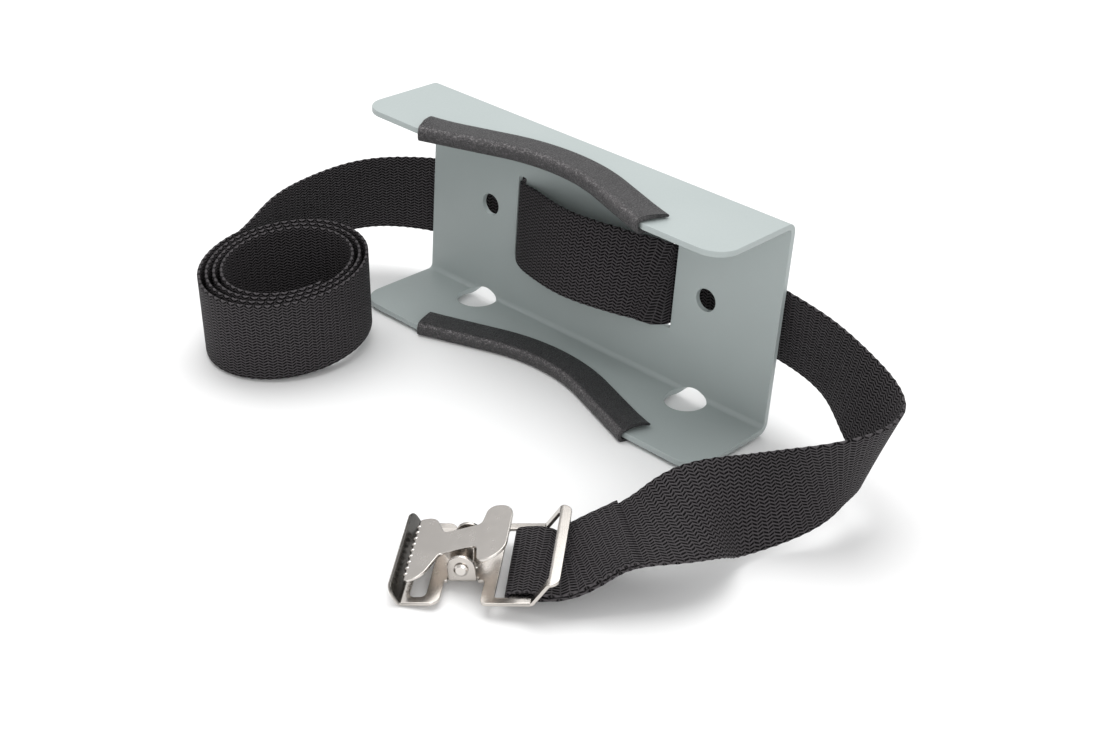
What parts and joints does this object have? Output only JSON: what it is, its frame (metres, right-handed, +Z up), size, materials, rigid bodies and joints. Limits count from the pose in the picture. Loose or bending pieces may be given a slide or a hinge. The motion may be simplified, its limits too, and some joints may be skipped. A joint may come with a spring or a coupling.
{
  "type": "cylinder wall bracket with strap",
  "caption": "Folded steel wall bracket with a curved seat for a gas cylinder, trimmed edges, and a webbing strap with a sprung toothed lever buckle.",
  "frame": {"origin": "centre of the bracket's flat rear face, which goes against the wall", "axes": "+X to the right seen from the front, +Y into the wall, +Z up"},
  "size_m": [0.4146, 0.2777, 0.1336],
  "materials": {
    "powder_coat": "satin grey powder coat with fine grain",
    "trim_vinyl": "matt black vinyl with leather grain",
    "webbing": "black woven webbing, zigzag weave",
    "nickel_plate": "satin nickel plate, worn edges",
    "spring_steel": "bright drawn wire"
  },
  "bodies": {
    "bracket_and_strap": {"bracket": "powder_coat", "upper_edge_trim": "trim_vinyl", "lower_edge_trim": "trim_vinyl", "strap_coil": "webbing", "strap_left_run": "webbing", "strap_front_span": "webbing", "strap_right_loop": "webbing", "strap_buckle_fold": "webbing"},
    "buckle": {"buckle_frame": "nickel_plate", "pivot_pin": "nickel_plate", "torsion_spring": "spring_steel"},
    "lever": {"buckle_lever": "nickel_plate"}
  },
  "joints": [
    {"name": "buckle_swing", "type": "hinge", "parent": "bracket_and_strap", "child": "buckle", "pos_m": [0.13255, -0.20049, -0.05642], "axis": [-0.5899, 0.8058, 0.052], "range_deg": [0, 10]},
    {"name": "lever_pivot", "type": "hinge", "parent": "buckle", "child": "lever", "pos_m": [0.11069, -0.21672, -0.05283], "axis": [-0.5899, 0.8058, 0.052], "range_deg": [0, 30], "stiffness_Nm_per_rad": 0.08, "springref_deg": -17.19}
  ]
}
